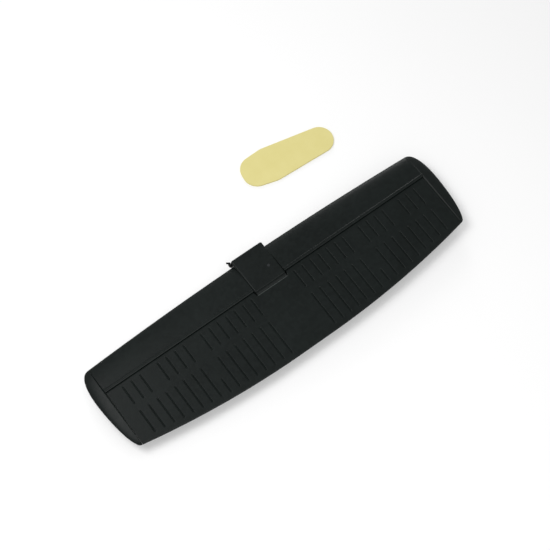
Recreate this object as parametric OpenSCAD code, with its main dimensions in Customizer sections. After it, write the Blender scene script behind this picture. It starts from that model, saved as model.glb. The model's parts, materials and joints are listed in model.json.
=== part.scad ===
// Tail wing of a radio-controlled model aeroplane: two foam stabilizer panels on a centre
// saddle, a grooved elevator on four pinned hinges, and the loose pad that sticks it down.
// Millimetres. X runs along the span with the left tip at +X, the leading edge faces -Y.
// The saddle's seat is z = 0 and the hinge axis is the line y = 0, z = plane_height.

/* [Planform] */
// Centre line to the joint between a panel and its tip
panel_half = 175; // [160:1:200]
// Hinge axis to the leading edge at the centre line
nose_chord = 33.4; // [32:0.1:38]
// How far the leading edge has come back at the tip joint
nose_sweep = 4.6; // [0:0.1:6]
// Hinge axis to the trailing edge at the centre line
aft_chord = 69.4; // [60:0.1:90]
// Half length of the straight middle of the trailing edge
aft_straight = 16; // [5:1:40]
// Radius of the trailing edge beyond its straight middle
aft_radius = 840; // [600:10:2000]
// Width of a tip at its middle
tip_width = 11.2; // [6:0.1:16]
// How much wider than its middle a tip is at the front, and narrower at the back
tip_rake = 2.7; // [0:0.1:5]
// How square the corners of a tip are, with 2 for an ellipse
tip_squareness = 2.3; // [2:0.1:4]

/* [Sections] */
// Height of the middle plane over the saddle's seat
plane_height = 12; // [10:0.1:16]
// Half thickness of the panels ahead of their lips
lip_half = 5; // [4.5:0.1:6]
// How far that thickness stands over the elevator's nose
lip_step = 1.1; // [1:0.05:1.4]
// Distance from the hinge axis forward to a panel's lip
lip_setback = 1.6; // [1.2:0.1:2]
// Width of the raised bead along a panel's lip
bead_width = 4.2; // [3:0.1:5]
// Height of that bead over the skin ahead of it
bead_rise = 0.4; // [0.2:0.05:0.5]
// Running gap between a panel's cove and the elevator's nose
cove_gap = 0.5; // [0.4:0.05:0.7]
// Running gap between the elevator and the tips beside it
end_gap = 0.35; // [0.3:0.05:1]
// Half thickness of the trailing edge
edge_half = 1; // [0.6:0.05:1.4]

/* [Saddle] */
// Width of the saddle across the span
saddle_width = 32; // [28:0.5:36]
// Front of the saddle ahead of the hinge axis
saddle_front = 37.5; // [36.5:0.1:39]
// Back of the saddle's block behind the hinge axis
saddle_back = 0.5; // [0.3:0.1:0.6]
// Running gap between the saddle's round heel and the elevator's notch
heel_gap = 0.5; // [0.4:0.05:0.8]
// How far the heel ends short of the saddle's sides
heel_inset = 1.5; // [1:0.1:3]
// Width of the foot plate under the saddle
foot_width = 50; // [44:0.5:52]
// Front of the foot plate ahead of the hinge axis
foot_front = 24; // [20:0.5:30]
// Back of the foot plate behind the hinge axis
foot_back = 3; // [2:0.5:5]
// Thickness of the foot plate
foot_thick = 1.5; // [1:0.1:2.5]
// Top of the saddle over the panels' skins
saddle_rise = 0.5; // [0:0.1:2]
// Radius of the saddle's upper edges and corners
saddle_round = 3; // [1:0.1:4]
// Open seam between the saddle and each panel
seam = 1; // [0.4:0.1:1.5]
// Spacing of the two screw posts across the span
screw_spacing = 16.8; // [14:0.1:20]
// Screw posts ahead of the hinge axis
screw_setback = 14.2; // [12:0.1:15]
// Blind hole in each post for the fuselage screw
screw_hole = 3.2; // [2.2:0.1:3.4]
// Solid left over that hole in the post
screw_roof = 1.5; // [1:0.1:2]
// Outer diameter of a post
post_diameter = 5; // [4.6:0.1:6]
// Diameter of the flange at the foot of a post
flange_diameter = 7; // [6.4:0.1:8]
// Thickness of that flange
flange_thick = 0.8; // [0.5:0.1:1.5]
// Diameter of the pip on a post that shows in the saddle's top
pip_diameter = 2.6; // [1.6:0.1:3]
// Height of that pip
pip_height = 2.5; // [1:0.1:4]
// Diameter of the locating peg in the saddle's left side
side_peg_diameter = 3.4; // [2.4:0.1:3.6]
// Locating peg behind the saddle's front
side_peg_inset = 1.9; // [1.8:0.1:2]
// Locating peg below the middle plane
side_peg_drop = 1; // [0:0.1:3]
// How far the locating peg stands out of the saddle's side
side_peg_reach = 2.2; // [1:0.1:4]
// How deep the locating peg goes into the saddle
side_peg_depth = 5; // [3:0.1:6]
// Diameter of the moulding stub on the locating peg
stub_diameter = 0.9; // [0.6:0.1:1.4]
// Length of that stub
stub_length = 3.2; // [1:0.1:4]
// Angle of that stub, forwards from straight out, in degrees
stub_angle = 37; // [20:1:60]

/* [Spars] */
// Outer diameter of the carbon spar tube
spar_diameter = 4; // [3:0.1:4.5]
// Wall of the carbon spar tube
spar_wall = 0.8; // [0.5:0.05:1.2]
// Length of the carbon spar tube
spar_length = 300; // [200:1:310]
// Spar tube ahead of the hinge axis
spar_setback = 21.4; // [20.5:0.1:22]
// Diameter of the front joiner rod
joiner_diameter = 2.5; // [1.5:0.1:2.6]
// Length of the front joiner rod
joiner_length = 80; // [60:1:120]
// Front joiner rod ahead of the hinge axis
joiner_setback = 27.2; // [26.6:0.1:27.8]
// Diameter of the elevator's stiffener rod
stiffener_diameter = 2; // [1:0.1:2.5]
// Stiffener rod behind the hinge axis
stiffener_setback = 16.5; // [16:0.1:17]
// How far the stiffener's ends lie inside the elevator
stiffener_recess = 2; // [0.5:0.1:10]
// Glue room round everything that is bonded into foam
glue_gap = 0.05; // [0.02:0.01:0.1]

/* [Hinges] */
// Inner hinges from the centre line
hinge_inner = 52; // [40:0.5:60]
// Outer hinges from the tip joints
hinge_margin = 42; // [30:0.5:60]
// Width of a hinge along its pin
leaf_width = 12; // [10:0.1:14]
// Length of a leaf from the pin
leaf_length = 13; // [9:0.1:14]
// Thickness of a leaf
leaf_thick = 0.9; // [0.6:0.05:1.2]
// Diameter of the knuckles round the pin
knuckle_diameter = 2.6; // [2.2:0.1:3]
// Width of the fixed leaf's middle knuckle
knuckle_width = 4; // [3:0.1:5]
// End play between neighbouring knuckles
knuckle_play = 0.2; // [0.1:0.05:0.4]
// Diameter of the hinge pins
pin_diameter = 1; // [0.8:0.05:1.2]
// Running clearance round a pin
pin_clearance = 0.03; // [0.02:0.01:0.06]
// How far a pin stands out at each end of its hinge
pin_overhang = 0.3; // [0.1:0.05:0.4]
// Room round a hinge in the elevator's nose
pocket_gap = 0.6; // [0.5:0.05:0.8]
// Greatest elevator deflection each way, in degrees
travel = 25; // [15:1:28]

/* [Elevator] */
// Lips of the notch behind the hinge axis
notch_depth = 2.8; // [2.7:0.1:3.4]
// How far the notch's corners are cut off slanting
notch_corner = 2.8; // [1:0.1:4]
// Centre line to the first groove
groove_first = 23.5; // [22:0.1:26]
// Pitch of the grooves along the span
groove_pitch = 9.1; // [8.6:0.1:9.4]
// Number of groove columns on each side
groove_count = 16; // [4:1:16]
// Width of a groove at the skin
groove_width = 1.2; // [0.6:0.05:1.6]
// Depth of a groove
groove_depth = 0.45; // [0.2:0.05:0.6]
// Front row of grooves begins behind the hinge axis
front_row_start = 2; // [1.5:0.5:8]
// Front row of grooves ends behind the hinge axis
front_row_end = 21.5; // [16:0.5:24]
// Rear row of grooves begins behind the hinge axis
rear_row_start = 28; // [26:0.5:34]
// The one shorter groove of the rear row begins behind the hinge axis
short_start = 46.5; // [40:0.5:50]
// Rear row of grooves ends ahead of the trailing edge
rear_row_margin = 7; // [4:0.5:10]

/* [Control horn] */
// Hinge axis down to the pushrod hole
horn_arm = 9.5; // [9:0.1:11]
// Horn material round the pushrod hole
horn_edge = 2.5; // [2:0.1:3]
// Thickness of the horn's blade
horn_thick = 1.6; // [1:0.1:2.4]
// Pushrod hole in the horn
rod_hole = 1.6; // [1:0.1:2]
// Front of the horn's base behind the hinge axis
base_start = 5; // [4:0.1:6]
// Length of the horn's base
base_length = 16; // [14:0.1:18]
// Width of the horn's base
base_width = 7; // [5:0.1:7.4]
// Thickness of the horn's base
base_thick = 1.3; // [0.8:0.1:2]
// Diameter of the horn's two pegs
peg_diameter = 2.4; // [1.5:0.1:2.8]
// Length of the horn's two pegs
peg_length = 2.2; // [1:0.1:2.4]
// Each peg in from its end of the base
peg_inset = 2.6; // [2:0.1:3.4]

/* [Mounting pad] */
// Centre of the loose pad along X
pad_x = -94; // [-200:1:200]
// Centre of the loose pad along Y
pad_y = -99.8; // [-140:0.1:-90]
// Turn of the loose pad about Z in degrees
pad_turn = 172.5; // [0:0.5:360]
// Length of the pad
pad_length = 95; // [80:1:120]
// Half width of the pad where it is widest
pad_wide = 18.2; // [16.5:0.1:22]
// Widest place of the pad from its middle
pad_wide_offset = 19; // [12:0.5:24]
// Radius of the pad's narrow end
pad_narrow = 13.8; // [9:0.1:16]
// Radius of the two corners at the pad's wide end
pad_corner = 13.8; // [8:0.1:14]
// Centre line to each of those corners' centres
pad_corner_offset = 2.2; // [1:0.1:4]
// Thickness of the foam
foam_thick = 1; // [0.5:0.1:3]
// Thickness of a liner
liner_thick = 0.2; // [0.1:0.05:0.4]
// How far the liners stand out past the foam
liner_overhang = 0.6; // [0.2:0.1:2]

/* [Hidden] */
$fn = 48;

// Columns of the front row that the mould leaves plain, and the short one of the rear row
plain_columns = [7, 12];
short_column = 7;

// Facets of the lofted skins
skin_steps = 9;
bead_steps = 4;
nose_steps = 10;
panel_stations = 8;
elevator_stations = 20;
tip_steps = 6;
tip_stations = 20;
round_facets = 24;

// A tip's skin falls to its edge by this power, and its loft ends just short of its points
tip_fall = 1.2;
tip_reach = 0.995;

// Cuts run this far past the face that they open
cut_over = 1;

saddle_half = saddle_width / 2;
saddle_top = plane_height + lip_half + saddle_rise;
post_height = saddle_top - pip_height;
nose_radius = lip_half - lip_step;
skin_angle = atan((nose_radius - edge_half) / aft_chord);
root_x = saddle_half + seam;
elevator_half = panel_half - end_gap;
notch_radius = norm([notch_depth, skin_z(notch_depth)]);
bead_start = lip_setback + bead_width;
hinge_outer = panel_half - hinge_margin;
knuckle_radius = knuckle_diameter / 2;
leaf_front = knuckle_radius + knuckle_play;
pocket_rear = leaf_front + pocket_gap;
side_knuckle = (leaf_width - knuckle_width) / 2 - knuckle_play;
horn_x = groove_first + groove_pitch / 2;
tongue_depth = tip_width / 2;
tongue_width = nose_chord / 3;
tongue_thick = lip_half * 0.65;

foam_black = [0.14, 0.15, 0.14];
block_black = [0.11, 0.12, 0.11];
carbon_black = [0.06, 0.06, 0.07];
nylon_grey = [0.75, 0.75, 0.72];
pin_steel = [0.7, 0.71, 0.73];
horn_black = [0.1, 0.1, 0.1];
pad_grey = [0.62, 0.61, 0.52];
liner_yellow = [0.88, 0.84, 0.57];

// The two long edges in plan
function leading_y(x) = -nose_chord + nose_sweep * pow(abs(x) / panel_half, 2);
function trailing_y(x) =
    aft_chord - aft_radius + sqrt(pow(aft_radius, 2) - pow(max(0, abs(x) - aft_straight), 2));

// Height of the elevator's flat upper skin over the middle plane
function skin_z(y) = nose_radius - y * tan(skin_angle);

// The bead along a panel's lip: a gentle rise from the skin, then a round fall to the lip
bead_path = concat(
    [for (i = [1 : bead_steps]) let (a = 180 * i / bead_steps)
        [bead_width * i / bead_steps / 2, bead_rise * (1 - cos(a)) / 2]],
    [for (i = [1 : bead_steps]) let (a = 90 * i / bead_steps)
        [bead_width * (1 + sin(a)) / 2, bead_rise * (2 * cos(a) - 1)]]
);

// Outside of a panel's section, from its upper lip round the leading edge to its lower lip
function panel_ring(x) =
    let (
        chord = -bead_start - leading_y(x),
        upper = concat(
            [for (i = [0 : skin_steps]) let (a = 90 * i / skin_steps)
                [-bead_start - chord * cos(a), lip_half * sin(a)]],
            [for (p = bead_path) [p[0] - bead_start, lip_half + p[1]]]
        ),
        last = len(upper) - 1
    )
    concat(
        [for (i = [last : -1 : 0]) [x, upper[i][0], upper[i][1]]],
        [for (i = [1 : last]) [x, upper[i][0], -upper[i][1]]]
    );

// Section of the elevator along the chord: round nose on the hinge axis, flat skins
function elevator_section() =
    concat(
        [for (i = [0 : nose_steps]) let (a = -90 + 180 * i / nose_steps)
            [-nose_radius * cos(a), nose_radius * sin(a)]],
        [[aft_chord, edge_half], [aft_chord, -edge_half]]
    );

// Outline of the elevator in plan: square front corners and the curved trailing edge
function elevator_outline() =
    concat(
        [[elevator_half, -lip_half], [-elevator_half, -lip_half]],
        [for (i = [0 : elevator_stations]) let (x = elevator_half * (2 * i / elevator_stations - 1))
            [x, trailing_y(x)]]
    );

// Outline of the notch behind the saddle, with slanting corners
function notch_outline() =
    let (wide = root_x + notch_corner, shoulder = notch_depth - notch_corner)
    [[-wide, -lip_half - cut_over], [wide, -lip_half - cut_over], [wide, shoulder],
        [root_x, notch_depth], [-root_x, notch_depth], [-wide, shoulder]];

// Half thickness of a tip at its joint: the panel's section, then a straight run aft
function joint_half(y) =
    let (front = -bead_start - leading_y(panel_half), back = aft_chord + bead_start)
    y < -bead_start
        ? lip_half * sqrt(1 - pow((y + bead_start) / front, 2))
        : lip_half + (edge_half - lip_half) * (y + bead_start) / back;

// Section of a tip across the span at one place along the chord, t = -1 in front, 1 behind
function tip_ring(t) =
    let (
        front = leading_y(panel_half),
        back = trailing_y(panel_half),
        y = (front + back) / 2 + t * (back - front) / 2,
        half = joint_half(y),
        full = pow(1 - pow(abs(t), tip_squareness), 1 / tip_squareness),
        width = (tip_width - tip_rake * t) * full
    )
    concat(
        [for (i = [0 : tip_steps]) let (s = 1 - i / tip_steps)
            [panel_half + width * (1 - s * s), y, half * pow(s, tip_fall)]],
        [for (i = [tip_steps - 1 : -1 : 0]) let (s = 1 - i / tip_steps)
            [panel_half + width * (1 - s * s), y, -half * pow(s, tip_fall)]]
    );

// An end of a loft, in strips between the points of a ring and their mirror images
function cap(base, count) =
    let (last = count - 1, half = last / 2)
    [for (i = [0 : half - 1])
        i == half - 1
            ? [base + i, base + i + 1, base + last - i]
            : [base + i, base + i + 1, base + last - i - 1, base + last - i]];

// A closed skin through a row of rings that have as many points each
module loft(rings) {
    count = len(rings[0]);
    last = len(rings) - 1;
    sides = [for (i = [0 : last - 1], j = [0 : count - 1])
        let (k = (j + 1) % count, a = i * count, b = a + count)
        each [[a + j, b + j, b + k], [a + j, b + k, a + k]]];
    last_cap = [for (face = cap(last * count, count)) [for (i = [len(face) - 1 : -1 : 0]) face[i]]];
    polyhedron([for (ring = rings) each ring], concat(sides, cap(0, count), last_cap));
}

// Places a child on the middle plane
module on_plane() {
    translate([0, 0, plane_height]) children();
}

// A round bar along X, centred on x = 0
module bar(diameter, length) {
    rotate([0, 90, 0]) cylinder(d = diameter, h = length, center = true);
}

// A block centred in X and Z between two places along Y
module slab(width, from_y, to_y, thick) {
    translate([-width / 2, from_y, -thick / 2]) cube([width, to_y - from_y, thick]);
}

// The tongue of a tip, or with room round it the socket for it
module tongue(room) {
    middle = leading_y(panel_half) + tongue_width * 1.1;
    translate([panel_half - tongue_depth - room, middle - tongue_width / 2 - room, -tongue_thick / 2 - room])
        cube([tongue_depth + room + cut_over, tongue_width + 2 * room, tongue_thick + 2 * room]);
}

module panel() {
    span = panel_half - root_x;
    color(foam_black) on_plane() difference() {
        loft([for (i = [panel_stations : -1 : 0]) panel_ring(root_x + span * i / panel_stations)]);
        bar(2 * (nose_radius + cove_gap), 2 * panel_half + 2 * cut_over);
        translate([0, -spar_setback, 0]) bar(spar_diameter + 2 * glue_gap, spar_length + 2 * glue_gap);
        translate([0, -joiner_setback, 0]) bar(joiner_diameter + 2 * glue_gap, joiner_length + 2 * glue_gap);
        for (x = [hinge_inner, hinge_outer])
            translate([x, 0, 0])
                slab(leaf_width + 2 * glue_gap, -leaf_length - glue_gap, 0, leaf_thick + 2 * glue_gap);
        tongue(glue_gap);
    }
}

module tip() {
    color(foam_black) on_plane() union() {
        loft([for (i = [-tip_stations / 2 : tip_stations / 2])
            tip_ring(tip_reach * sin(180 * i / tip_stations))]);
        tongue(0);
    }
}

// The saddle's outer block: sharp at the seat, round at the top and the corners
module saddle_block() {
    inset = saddle_half - saddle_round;
    hull()
        for (x = [-inset, inset], y = [saddle_round - saddle_front, saddle_back - saddle_round]) {
            translate([x, y, saddle_top - saddle_round]) sphere(r = saddle_round, $fn = round_facets);
            translate([x, y, 0]) cylinder(r = saddle_round, h = saddle_round, $fn = round_facets);
        }
}

module saddle() {
    color(block_black) difference() {
        union() {
            saddle_block();
            on_plane() bar(2 * (notch_radius - heel_gap), saddle_width - 2 * heel_inset);
            translate([-foot_width / 2, -foot_front, 0]) cube([foot_width, foot_front + foot_back, foot_thick]);
        }
        on_plane() translate([0, -spar_setback, 0])
            bar(spar_diameter + 2 * glue_gap, saddle_width + 2 * cut_over);
        on_plane() translate([0, -joiner_setback, 0])
            bar(joiner_diameter + 2 * glue_gap, saddle_width + 2 * cut_over);
        for (side = [-1, 1]) post_shape(glue_gap, side);
        side_peg_bar(glue_gap);
    }
}

// The outside of a screw post, or with room round it the seat for it; the right one has a pip
// that comes flush with the saddle's top
module post_shape(room, side) {
    foot = room > 0 ? cut_over : 0;
    translate([side * screw_spacing / 2, -screw_setback, -foot]) {
        cylinder(d = flange_diameter + 2 * room, h = flange_thick + room + foot);
        cylinder(d = post_diameter + 2 * room, h = post_height + room + foot);
        if (side < 0) cylinder(d = pip_diameter + 2 * room, h = saddle_top + 2 * foot);
    }
}

// Flanged post that takes a fuselage screw from below
module post(side) {
    color(horn_black) difference() {
        post_shape(0, side);
        translate([side * screw_spacing / 2, -screw_setback, -cut_over])
            cylinder(d = screw_hole, h = post_height - screw_roof + cut_over);
    }
}

// The bar of the locating peg, or with room round it its seat in the saddle's left side
module side_peg_bar(room) {
    translate([saddle_half - side_peg_depth - room, side_peg_inset - saddle_front, plane_height - side_peg_drop])
        rotate([0, 90, 0])
            cylinder(d = side_peg_diameter + 2 * room, h = side_peg_depth + side_peg_reach + room);
}

// Peg ahead of the left panel's root, with the stub that its mould left on it
module side_peg() {
    stub_root = side_peg_diameter / 4;
    color(horn_black) {
        union() {
            side_peg_bar(0);
            translate([saddle_half + side_peg_reach - stub_root, side_peg_inset - saddle_front,
                    plane_height - side_peg_drop])
                rotate([0, 90, -stub_angle]) cylinder(d = stub_diameter, h = stub_length + stub_root);
        }
    }
}

module main_spar() {
    color(carbon_black) on_plane() translate([0, -spar_setback, 0]) difference() {
        bar(spar_diameter, spar_length);
        bar(spar_diameter - 2 * spar_wall, spar_length + 2 * cut_over);
    }
}

module front_joiner() {
    color(carbon_black) on_plane() translate([0, -joiner_setback, 0]) bar(joiner_diameter, joiner_length);
}

module pin_bore() {
    bar(pin_diameter + 2 * pin_clearance, leaf_width + 2 * cut_over);
}

module fixed_leaf(x) {
    color(nylon_grey) on_plane() translate([x, 0, 0]) difference() {
        union() {
            slab(leaf_width, -leaf_length, -leaf_front, leaf_thick);
            slab(knuckle_width, -leaf_length, 0, leaf_thick);
            bar(knuckle_diameter, knuckle_width);
        }
        pin_bore();
    }
}

module moving_leaf(x) {
    color(nylon_grey) on_plane() translate([x, 0, 0]) difference() {
        union() {
            slab(leaf_width, leaf_front, leaf_length, leaf_thick);
            for (side = [-1, 1])
                translate([side * (leaf_width - side_knuckle) / 2, 0, 0]) {
                    slab(side_knuckle, 0, leaf_length, leaf_thick);
                    bar(knuckle_diameter, side_knuckle);
                }
        }
        pin_bore();
    }
}

module hinge_pin(x) {
    color(pin_steel) on_plane() translate([x, 0, 0]) bar(pin_diameter, leaf_width + 2 * pin_overhang);
}

// One V-shaped groove in the upper skin, cut along the chord
module groove(x, from_y, to_y) {
    reach = (groove_depth + cut_over) / groove_depth;
    translate([x, from_y, skin_z(from_y)])
        rotate([-90 - skin_angle, 0, 0])
            linear_extrude((to_y - from_y) / cos(skin_angle))
                polygon([[-reach * groove_width / 2, -cut_over], [0, groove_depth],
                    [reach * groove_width / 2, -cut_over]]);
}

// Both rows of grooves on one half of the upper skin
module groove_rows() {
    for (column = [0 : groove_count - 1]) {
        x = groove_first + groove_pitch * column;
        if (len(search(column, plain_columns)) == 0) groove(x, front_row_start, front_row_end);
        groove(x, column == short_column ? short_start : rear_row_start, trailing_y(x) - rear_row_margin);
    }
}

// Room in the elevator's nose for one hinge, and the slot for its moving leaf
module hinge_pocket(x) {
    height = 2 * (nose_radius * sin(travel) + pocket_gap) + leaf_thick;
    translate([x, 0, 0]) {
        slab(leaf_width + 2 * (pin_overhang + pocket_gap), -lip_half, pocket_rear, height);
        slab(leaf_width + 2 * glue_gap, 0, leaf_length + glue_gap, leaf_thick + 2 * glue_gap);
    }
}

// The horn's two pegs, or with room round them the holes for them
module horn_pegs(room) {
    for (y = [peg_inset, base_length - peg_inset])
        translate([0, y, -cut_over / 2])
            cylinder(d = peg_diameter + 2 * room, h = peg_length + room + cut_over / 2);
}

// Places a child on the elevator's lower skin where the horn's base begins
module on_lower_skin() {
    translate([horn_x, base_start, -skin_z(base_start)])
        rotate([skin_angle, 0, 0]) children();
}

module elevator() {
    color(foam_black) on_plane() difference() {
        intersection() {
            rotate([90, 0, 90]) linear_extrude(2 * elevator_half, center = true) polygon(elevator_section());
            linear_extrude(2 * lip_half, center = true) polygon(elevator_outline());
        }
        linear_extrude(2 * lip_half, center = true) polygon(notch_outline());
        bar(2 * notch_radius, 2 * root_x);
        for (side = [-1, 1], x = [hinge_inner, hinge_outer]) hinge_pocket(side * x);
        translate([0, stiffener_setback, 0])
            bar(stiffener_diameter + 2 * glue_gap, 2 * elevator_half + 2 * cut_over);
        on_lower_skin() horn_pegs(glue_gap);
        for (side = [0, 1], face = [0, 1]) mirror([side, 0, 0]) mirror([0, 0, face]) groove_rows();
    }
}

module elevator_stiffener() {
    color(carbon_black) on_plane() translate([0, stiffener_setback, 0])
        bar(stiffener_diameter, 2 * (elevator_half - stiffener_recess));
}

// Horn: a base on the lower skin, two pegs into the foam and a blade to the pushrod hole
module control_horn() {
    waist = horn_edge * 0.8;
    base_end = base_start + base_length;
    blade_top = base_thick / 2;
    color(horn_black) on_plane() difference() {
        union() {
            on_lower_skin() translate([-base_width / 2, 0, -base_thick - glue_gap])
                cube([base_width, base_length, base_thick]);
            on_lower_skin() horn_pegs(0);
            translate([horn_x - horn_thick / 2, 0, 0]) rotate([90, 0, 90]) linear_extrude(horn_thick)
                polygon([[-waist, -horn_arm], [waist, -horn_arm],
                    [base_end - blade_top, -skin_z(base_end) - blade_top],
                    [base_start + blade_top, -skin_z(base_start) - blade_top]]);
            translate([horn_x, 0, -horn_arm]) bar(2 * horn_edge, horn_thick);
        }
        translate([horn_x, 0, -horn_arm]) bar(rod_hole, horn_thick + 2 * cut_over);
    }
}

// The pad's outline, grown by a margin: blunt at its wide end, round at its narrow one
module pad_outline(margin) {
    end = pad_length / 2;
    hull() {
        for (side = [-1, 1])
            translate([pad_corner - end, side * pad_corner_offset]) circle(r = pad_corner + margin);
        translate([-pad_wide_offset, 0]) circle(r = pad_wide + margin);
        translate([end - pad_narrow, 0]) circle(r = pad_narrow + margin);
    }
}

// One layer of the pad, from its height over the table
module pad_layer(base, thick, margin) {
    translate([pad_x, pad_y, base]) rotate([0, 0, pad_turn])
        linear_extrude(thick) pad_outline(margin);
}

module pad_foam() {
    color(pad_grey) pad_layer(liner_thick, foam_thick, -liner_overhang);
}

module pad_top_liner() {
    color(liner_yellow) pad_layer(liner_thick + foam_thick, liner_thick, 0);
}

module pad_bottom_liner() {
    color(liner_yellow) pad_layer(0, liner_thick, 0);
}

panel();  // left_panel
mirror([1, 0, 0]) panel();  // right_panel
tip();  // left_tip
mirror([1, 0, 0]) tip();  // right_tip
saddle();
post(1);  // left_post
post(-1);  // right_post
side_peg();
main_spar();
front_joiner();
fixed_leaf(hinge_outer);  // left_outer_fixed_leaf
moving_leaf(hinge_outer);  // left_outer_moving_leaf
hinge_pin(hinge_outer);  // left_outer_pin
fixed_leaf(hinge_inner);  // left_inner_fixed_leaf
moving_leaf(hinge_inner);  // left_inner_moving_leaf
hinge_pin(hinge_inner);  // left_inner_pin
fixed_leaf(-hinge_inner);  // right_inner_fixed_leaf
moving_leaf(-hinge_inner);  // right_inner_moving_leaf
hinge_pin(-hinge_inner);  // right_inner_pin
fixed_leaf(-hinge_outer);  // right_outer_fixed_leaf
moving_leaf(-hinge_outer);  // right_outer_moving_leaf
hinge_pin(-hinge_outer);  // right_outer_pin
elevator();
elevator_stiffener();
control_horn();
pad_foam();
pad_top_liner();
pad_bottom_liner();
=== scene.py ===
# %% [markdown]
# A foam tail wing, dressed in Blender.
# The part is the tail wing of a radio-controlled model aeroplane: two smooth foam panels on a
# centre saddle, one long grooved elevator hinged behind them, and a loose sticky pad.
# The solids come packed from the CAD side as a fixed frame. This lesson gives each a new skin
# or only a finish, in metres and in the same places, and never moves the frame itself.

# %% Load the frame
import json
import math

import bmesh
import bpy
from mathutils import Matrix, Vector

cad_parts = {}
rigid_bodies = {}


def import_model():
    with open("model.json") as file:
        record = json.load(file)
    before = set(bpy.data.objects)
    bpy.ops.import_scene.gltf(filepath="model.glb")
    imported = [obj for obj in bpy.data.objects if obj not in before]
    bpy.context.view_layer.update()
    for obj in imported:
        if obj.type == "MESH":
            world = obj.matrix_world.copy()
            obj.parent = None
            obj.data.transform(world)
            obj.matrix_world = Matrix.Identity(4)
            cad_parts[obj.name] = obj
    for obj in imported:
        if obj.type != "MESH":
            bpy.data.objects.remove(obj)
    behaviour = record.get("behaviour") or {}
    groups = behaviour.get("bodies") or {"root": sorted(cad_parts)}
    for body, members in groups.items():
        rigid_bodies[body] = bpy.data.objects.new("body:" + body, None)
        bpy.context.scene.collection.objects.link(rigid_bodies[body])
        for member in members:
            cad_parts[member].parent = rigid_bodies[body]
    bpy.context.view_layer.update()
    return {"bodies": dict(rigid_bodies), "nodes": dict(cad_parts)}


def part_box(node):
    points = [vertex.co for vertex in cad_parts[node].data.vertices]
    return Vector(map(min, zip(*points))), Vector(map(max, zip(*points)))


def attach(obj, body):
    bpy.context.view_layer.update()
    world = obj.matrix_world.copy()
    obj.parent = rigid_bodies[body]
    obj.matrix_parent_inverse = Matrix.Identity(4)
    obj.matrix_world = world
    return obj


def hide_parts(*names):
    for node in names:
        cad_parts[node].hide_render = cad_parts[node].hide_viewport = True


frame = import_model()
MM = 0.001
print("bodies in the frame:", ", ".join(frame["bodies"]))
print("nodes in the frame:", len(frame["nodes"]))

# %% [markdown]
# Most sizes are read off the frame's own boxes, so that the skins follow the solids when a size
# in the CAD changes. The hinge line is the one place that everything else is measured from.

# %% Read the main sizes
BEAD_RISE = 0.4 * MM
BEAD_WIDTH = 4.2 * MM
panel_low, panel_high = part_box("left_panel")
elevator_low, elevator_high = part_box("elevator")
hinge_z = (elevator_low.z + elevator_high.z) / 2
root_x = panel_low.x
joint_x = panel_high.x
lip_y = panel_high.y
bead_y = lip_y - BEAD_WIDTH
skin_top = (panel_high.z - panel_low.z) / 2 - BEAD_RISE
nose_radius = -elevator_low.y
aft_y = elevator_high.y
print("hinge line at z = %.2f mm" % (hinge_z / MM))
print("panels from x = %.1f to %.1f mm" % (root_x / MM, joint_x / MM))

# %% [markdown]
# Finishes are built from shader nodes. Linking nodes by hand hides the idea behind them, so a
# wire between two nodes is wrapped in a small class that knows plain arithmetic: writing
# 1 - mask * 0.3 adds the Math nodes that say the same. Colours go through Mix nodes instead,
# because a Math node would turn them grey.

# %% A wire that does arithmetic
class Wire:
    """An output socket that knows plain arithmetic."""

    def __init__(self, finish, socket):
        self.finish = finish
        self.socket = socket

    def join(self, operation, first, second=0.0):
        return self.finish.node("ShaderNodeMath", {"operation": operation}, {0: first, 1: second})

    def __add__(self, other):
        return self.join("ADD", self, other)

    def __radd__(self, other):
        return self.join("ADD", other, self)

    def __sub__(self, other):
        return self.join("SUBTRACT", self, other)

    def __rsub__(self, other):
        return self.join("SUBTRACT", other, self)

    def __mul__(self, other):
        return self.join("MULTIPLY", self, other)

    def __rmul__(self, other):
        return self.join("MULTIPLY", other, self)

    def __abs__(self):
        return self.join("ABSOLUTE", self)


print("wires can do sums")

# %% [markdown]
# A finish is one material. Its node method makes any node from its type, settings and sockets,
# and the short methods after it name the few patterns that this part needs. They read Object
# coordinates, so that a pattern stays on its piece when that moves.

# %% A finish that makes nodes
class Finish:
    """One material: its shader, and the object coordinates that its patterns read."""

    def __init__(self, name, **constants):
        self.material = bpy.data.materials.new(name)
        self.material.use_nodes = True
        self.tree = self.material.node_tree
        self.shader = self.tree.nodes["Principled BSDF"]
        for socket, value in constants.items():
            self.shader.inputs[socket.replace("_", " ")].default_value = value
        self.place = self.node("ShaderNodeTexCoord", {}, {}, "Object")

    def node(self, kind, settings, sockets, output=0):
        made = self.tree.nodes.new(kind)
        for name, value in settings.items():
            setattr(made, name, value)
        for name, value in sockets.items():
            if isinstance(value, Wire):
                self.tree.links.new(value.socket, made.inputs[name])
            else:
                made.inputs[name].default_value = value
        return Wire(self, made.outputs[output])

    def feed(self, **wires):
        """Link wires to the shader's sockets, and give back the material."""
        for socket, wire in wires.items():
            self.tree.links.new(wire.socket, self.shader.inputs[socket.replace("_", " ")])
        return self.material

    def noise(self, size, detail=2.0, roughness=0.5, vector=None):
        sockets = {
            "Vector": vector or self.place,
            "Scale": 1 / size,
            "Detail": detail,
            "Roughness": roughness,
        }
        return self.node("ShaderNodeTexNoise", {}, sockets, "Fac")

    def stretched(self, x, y, z):
        return self.node("ShaderNodeMapping", {}, {"Vector": self.place, "Scale": (x, y, z)})

    def blend(self, factor, first, second):
        return self.node("ShaderNodeMix", {"data_type": "RGBA"}, {0: factor, 6: first, 7: second}, 2)

    def axis(self, name):
        return self.node("ShaderNodeSeparateXYZ", {}, {"Vector": self.place}, name)

    def bump(self, height, depth, strength):
        sockets = {"Height": height, "Distance": depth, "Strength": strength}
        return self.node("ShaderNodeBump", {}, sockets)

    def clamp(self, wire, low, high):
        sockets = {"Value": wire, "From Min": low, "From Max": high}
        return self.node("ShaderNodeMapRange", {}, sockets)


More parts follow.
